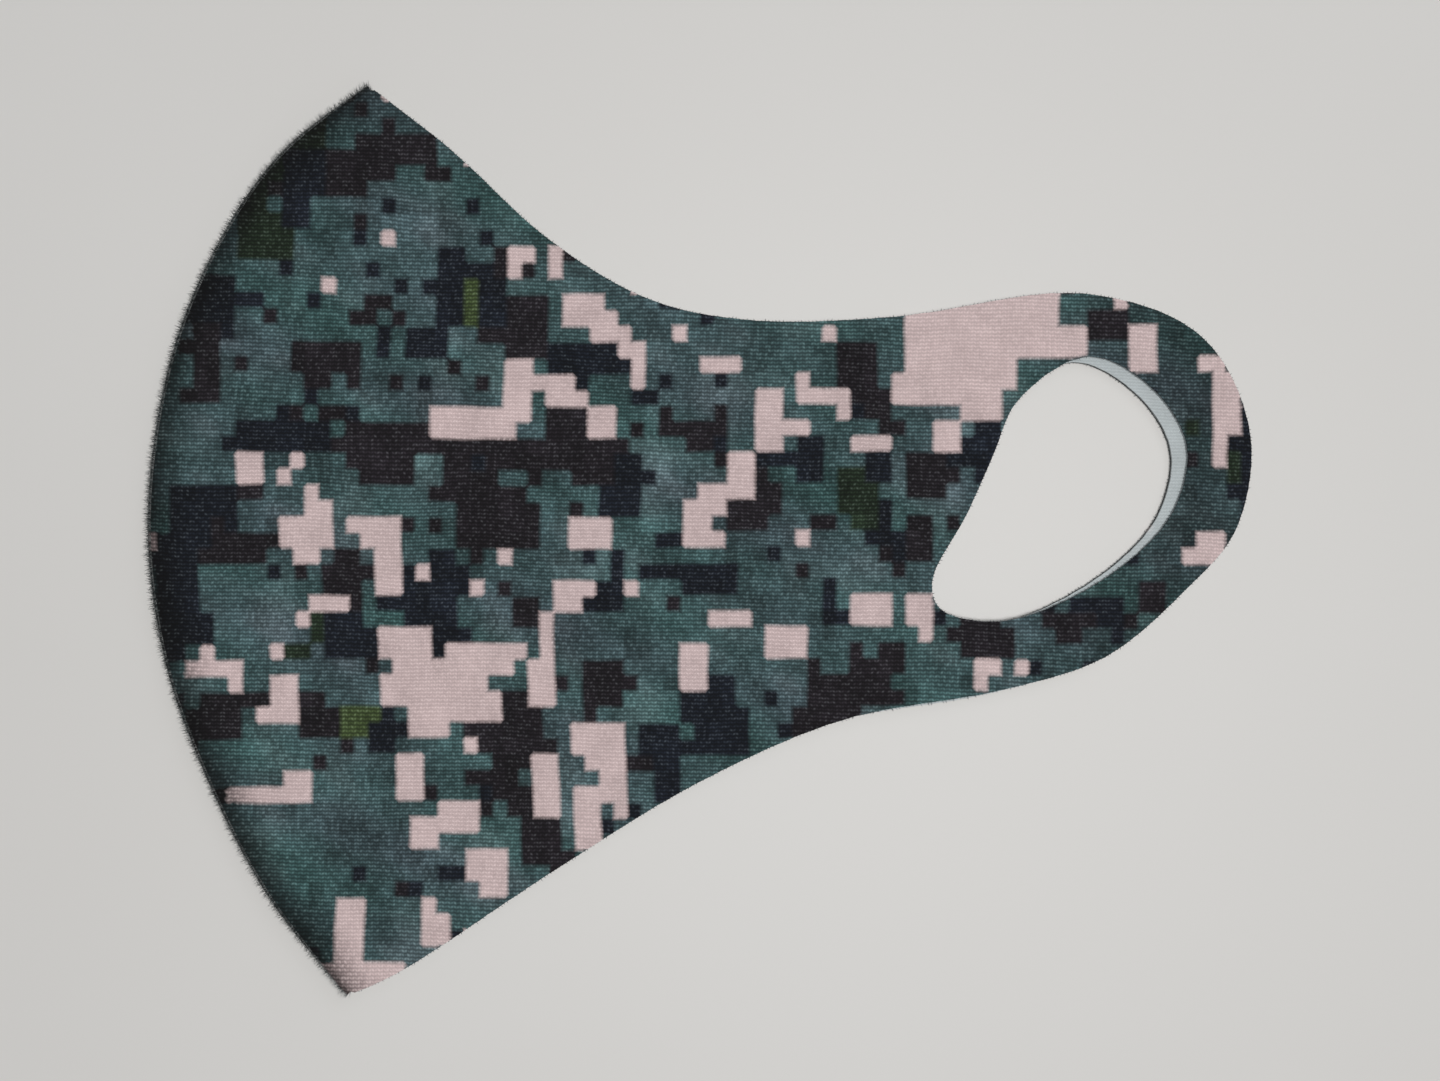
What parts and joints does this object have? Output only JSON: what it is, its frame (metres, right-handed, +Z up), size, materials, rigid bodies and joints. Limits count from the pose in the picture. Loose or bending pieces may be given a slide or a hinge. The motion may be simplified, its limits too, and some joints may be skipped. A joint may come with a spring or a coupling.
{
  "type": "camo face mask",
  "caption": "Reusable knit face mask folded flat: two halves sewn along a curved front seam, each with a cut-out ear loop, in a blocky camouflage print.",
  "frame": {"origin": "on the surface the folded mask lies on, under the middle of its outline", "axes": "+X from the front seam to the ear loops, +Y from the chin to the nose, +Z up from the right half to the left half"},
  "size_m": [0.1652, 0.1362, 0.004],
  "materials": {
    "printed_knit": "matte knit with a blocky grey-teal, dark and pale camouflage print",
    "core_knit": "matte springy filling yarn",
    "lining_knit": "matte pale smooth knit",
    "allowance_knit": "matte pale knit, turned inside the seam",
    "seam_thread": "dark polyester sewing thread"
  },
  "bodies": {
    "front_seam": {"right_front_face": "printed_knit", "right_front_core": "core_knit", "right_front_lining": "lining_knit", "left_front_face": "printed_knit", "left_front_core": "core_knit", "left_front_lining": "lining_knit", "right_seam_allowance": "allowance_knit", "left_seam_allowance": "allowance_knit", "needle_thread": "seam_thread", "lower_looper_thread": "seam_thread", "upper_looper_thread": "seam_thread"},
    "left_cheek": {"left_cheek_face": "printed_knit", "left_cheek_core": "core_knit", "left_cheek_lining": "lining_knit"},
    "right_cheek": {"right_cheek_face": "printed_knit", "right_cheek_core": "core_knit", "right_cheek_lining": "lining_knit"},
    "left_ear_loop": {"left_ear_loop_face": "printed_knit", "left_ear_loop_core": "core_knit", "left_ear_loop_lining": "lining_knit"},
    "right_ear_loop": {"right_ear_loop_face": "printed_knit", "right_ear_loop_core": "core_knit", "right_ear_loop_lining": "lining_knit"}
  },
  "joints": [
    {"name": "left_cheek_opening", "type": "hinge", "parent": "front_seam", "child": "left_cheek", "pos_m": [-0.0512, 0, 0.004], "axis": [0, -1, 0], "range_deg": [0, 90]},
    {"name": "right_cheek_opening", "type": "hinge", "parent": "front_seam", "child": "right_cheek", "pos_m": [-0.0512, 0, 0], "axis": [0, 1, 0], "range_deg": [0, 90]},
    {"name": "left_ear_loop_bend", "type": "hinge", "parent": "left_cheek", "child": "left_ear_loop", "pos_m": [0.054, 0.01, 0.004], "axis": [0, -1, 0], "range_deg": [0, 90]},
    {"name": "right_ear_loop_bend", "type": "hinge", "parent": "right_cheek", "child": "right_ear_loop", "pos_m": [0.0519, 0.01, 0], "axis": [0, 1, 0], "range_deg": [0, 90]}
  ]
}
